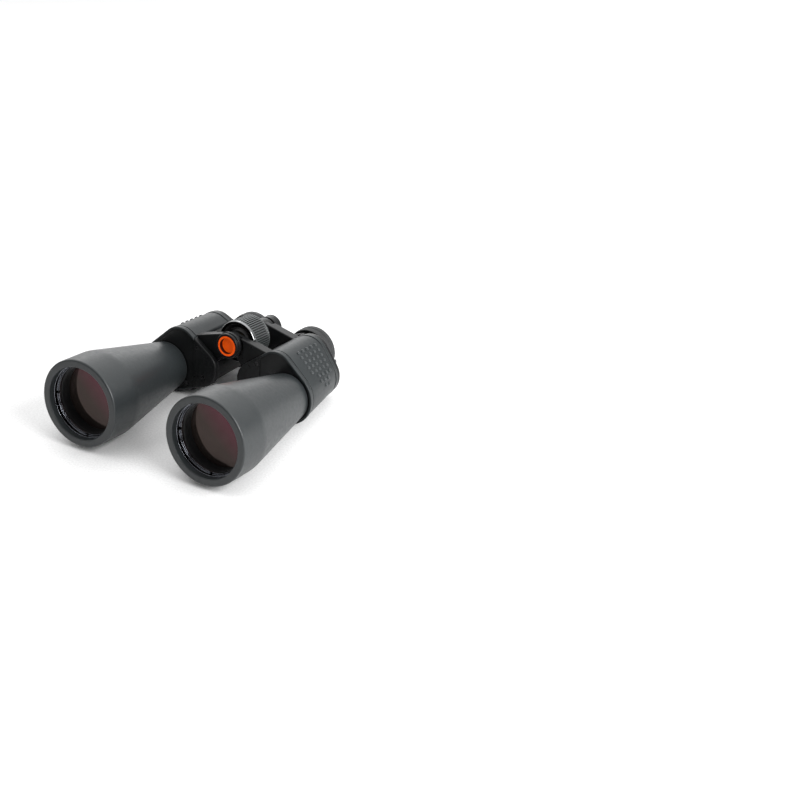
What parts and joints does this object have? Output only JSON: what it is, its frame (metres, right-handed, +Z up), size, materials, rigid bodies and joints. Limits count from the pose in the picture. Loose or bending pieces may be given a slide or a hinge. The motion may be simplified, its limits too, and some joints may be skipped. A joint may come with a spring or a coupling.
{
  "type": "astronomy binoculars",
  "caption": "Large centre-focus binoculars with long cone barrels, rubber-clad prism housings, a ribbed focus wheel and a capped tripod socket.",
  "frame": {"origin": "bottom centre of the whole object, under its middle, at the height of the objective rims' lowest points", "axes": "+Y along the optical axes towards the eyecups, +Z up, +X towards the user's left barrel"},
  "size_m": [0.192, 0.201, 0.0836],
  "materials": {
    "barrel_rubber": "soft-touch, matte",
    "body_rubber": "soft-touch, fine leather grain",
    "eyecup_rubber": "matte",
    "wheel_rubber": "satin, ribbed",
    "painted_alloy": "black crackle paint, satin",
    "tube_alloy": "matte black inside",
    "black_anodised": "black anodised",
    "ring_anodised": "gloss black anodised",
    "blackened_steel": "blackened",
    "spring_steel": "ground",
    "socket_brass": "turned",
    "cap_plastic": "satin",
    "orange_plastic": "gloss",
    "bright_chrome": "polished",
    "coated_glass": "plum coated",
    "clear_glass": "polished"
  },
  "bodies": {
    "right_half": {"right_barrel_armour": "barrel_rubber", "right_objective_tube": "tube_alloy", "right_lens_cell": "black_anodised", "right_retaining_ring": "ring_anodised", "right_crown_lens": "coated_glass", "right_flint_lens": "clear_glass", "right_prism_housing": "painted_alloy", "right_body_armour": "body_rubber", "right_front_cover": "painted_alloy", "right_rear_cover": "painted_alloy", "right_cover_screws": "blackened_steel", "right_strap_lug": "blackened_steel", "right_prism_shelf": "tube_alloy", "right_prism_clips": "spring_steel", "right_rear_prism": "clear_glass", "right_front_prism": "clear_glass", "hinge_pin": "blackened_steel", "tripod_socket": "socket_brass", "hinge_tube": "spring_steel"},
    "left_half": {"left_barrel_armour": "barrel_rubber", "left_objective_tube": "tube_alloy", "left_lens_cell": "black_anodised", "left_retaining_ring": "ring_anodised", "left_crown_lens": "coated_glass", "left_flint_lens": "clear_glass", "left_prism_housing": "painted_alloy", "left_body_armour": "body_rubber", "left_front_cover": "painted_alloy", "left_rear_cover": "painted_alloy", "left_cover_screws": "blackened_steel", "left_strap_lug": "blackened_steel", "left_prism_shelf": "tube_alloy", "left_prism_clips": "spring_steel", "left_rear_prism": "clear_glass", "left_front_prism": "clear_glass"},
    "focus_wheel": {"focus_nut": "socket_brass", "wheel_hub": "black_anodised", "wheel_grip": "wheel_rubber", "wheel_trim": "bright_chrome"},
    "bridge": {"focus_spindle": "spring_steel", "right_bridge_arm": "painted_alloy", "right_eyepiece_sleeve": "black_anodised", "bridge_cap": "black_anodised"},
    "left_carriage": {"left_bridge_arm": "painted_alloy", "left_eyepiece_sleeve": "black_anodised", "left_eyepiece_ring": "ring_anodised", "left_ocular_barrel": "black_anodised", "left_field_lens": "clear_glass", "left_eye_lens": "coated_glass"},
    "diopter_ring": {"right_eyepiece_ring": "ring_anodised"},
    "right_eyepiece": {"right_ocular_barrel": "black_anodised", "right_field_lens": "clear_glass", "right_eye_lens": "coated_glass"},
    "left_eyecup": {"left_eyecup": "eyecup_rubber"},
    "right_eyecup": {"right_eyecup": "eyecup_rubber"},
    "socket_cap": {"socket_cap": "cap_plastic", "cap_badge": "orange_plastic"}
  },
  "joints": [
    {"name": "interpupillary_hinge", "type": "hinge", "parent": "right_half", "child": "left_half", "pos_m": [0, 0, 0.066], "axis": [0, -1, 0], "range_deg": [-15.2, 38.1]},
    {"name": "focus_turn", "type": "hinge", "parent": "right_half", "child": "focus_wheel", "pos_m": [0, 0, 0.066], "axis": [0, 1, 0], "range_deg": [-48, 288]},
    {"name": "right_focus_slide", "type": "slide", "parent": "right_half", "child": "bridge", "axis": [0, 1, 0], "range_m": [-0.001, 0.006]},
    {"name": "left_focus_slide", "type": "slide", "parent": "left_half", "child": "left_carriage", "axis": [0, 1, 0], "range_m": [-0.001, 0.006]},
    {"name": "diopter_turn", "type": "hinge", "parent": "bridge", "child": "diopter_ring", "pos_m": [-0.031, 0, 0.0455], "axis": [0, 1, 0], "range_deg": [-120, 120]},
    {"name": "diopter_slide", "type": "slide", "parent": "bridge", "child": "right_eyepiece", "axis": [0, 1, 0], "range_m": [-0.00167, 0.00167]},
    {"name": "left_eyecup_fold", "type": "slide", "parent": "left_carriage", "child": "left_eyecup", "axis": [0, -1, 0], "range_m": [0, 0.005]},
    {"name": "right_eyecup_fold", "type": "slide", "parent": "right_eyepiece", "child": "right_eyecup", "axis": [0, -1, 0], "range_m": [0, 0.005]},
    {"name": "socket_cap_off", "type": "slide", "parent": "right_half", "child": "socket_cap", "axis": [0, -1, 0], "range_m": [0, 0.125]}
  ],
  "couplings": [
    {"joint": "right_focus_slide", "follows": "focus_turn", "m_per_rad": 0.0011936},
    {"joint": "left_focus_slide", "follows": "focus_turn", "m_per_rad": 0.0011936},
    {"joint": "diopter_slide", "follows": "diopter_turn", "m_per_rad": 0.000795}
  ]
}
